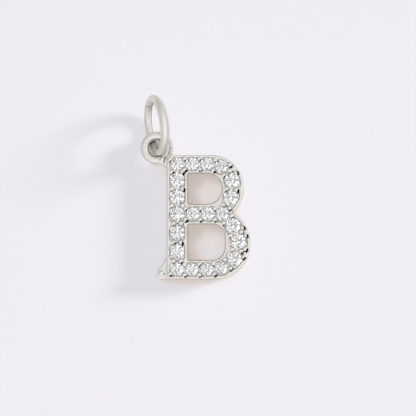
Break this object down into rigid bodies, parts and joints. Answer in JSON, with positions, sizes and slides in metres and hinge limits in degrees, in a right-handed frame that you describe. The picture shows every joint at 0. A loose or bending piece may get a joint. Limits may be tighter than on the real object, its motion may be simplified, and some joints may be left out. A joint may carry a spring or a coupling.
{
  "type": "initial pendant",
  "caption": "Small silver-coloured letter charm pave-set with round clear stones, with a cast eyelet and a jump ring to hang it from a chain.",
  "frame": {"origin": "on the flat back, at the middle of the letter's height and of its width with the foot serif", "axes": "+X across the letter towards its bowls, +Y up the letter towards the eyelet and the jump ring, +Z out of its front"},
  "size_m": [0.009, 0.0151, 0.0047],
  "materials": {
    "silver": "polished rhodium-plated silver",
    "stone": "faceted and polished"
  },
  "bodies": {
    "root": {"letter_setting": "silver", "jump_ring": "silver", "stone_top_1": "stone", "stone_top_2": "stone", "stone_top_3": "stone", "stone_top_4": "stone", "stone_stem_1": "stone", "stone_stem_2": "stone", "stone_stem_3": "stone", "stone_stem_4": "stone", "stone_stem_5": "stone", "stone_base_1": "stone", "stone_base_2": "stone", "stone_base_3": "stone", "stone_base_4": "stone", "stone_upper_bowl_1": "stone", "stone_upper_bowl_2": "stone", "stone_waist_1": "stone", "stone_waist_2": "stone", "stone_waist_3": "stone", "stone_lower_bowl_1": "stone", "stone_lower_bowl_2": "stone", "stone_lower_bowl_3": "stone"}
  },
  "joints": []
}
